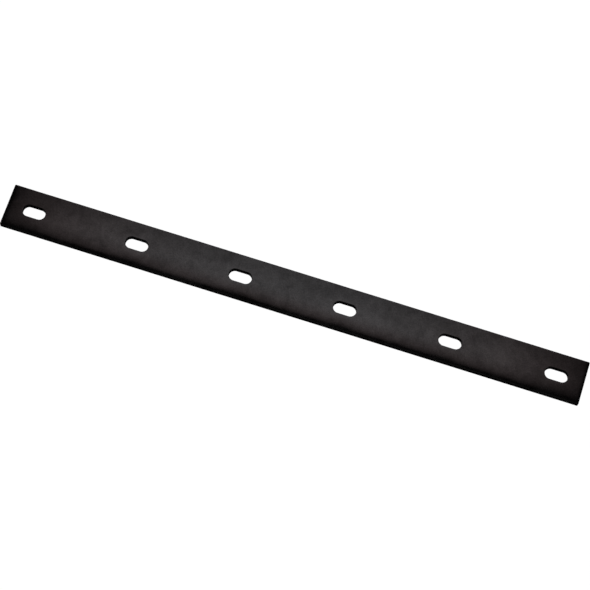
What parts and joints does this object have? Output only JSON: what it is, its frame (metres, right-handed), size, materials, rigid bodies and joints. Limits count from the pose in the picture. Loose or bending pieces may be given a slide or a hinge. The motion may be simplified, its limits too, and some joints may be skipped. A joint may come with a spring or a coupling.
{
  "type": "plow blade wear bar",
  "caption": "Flat black-coated steel wear bar that bolts along the bottom of an ATV snow plow blade through a row of obround slots.",
  "frame": {"origin": "centre of the back face, which bolts against the moldboard", "axes": "+X along the bar, +Y from the edge that scrapes the ground towards the edge under the moldboard, +Z out of the front face; the bar lies on its back face"},
  "size_m": [0.69, 0.052, 0.008],
  "materials": {
    "black_coat": "semi-gloss black powder coat on steel, with a faint orange-peel texture"
  },
  "bodies": {
    "root": {"wear_bar": "black_coat"}
  },
  "joints": []
}
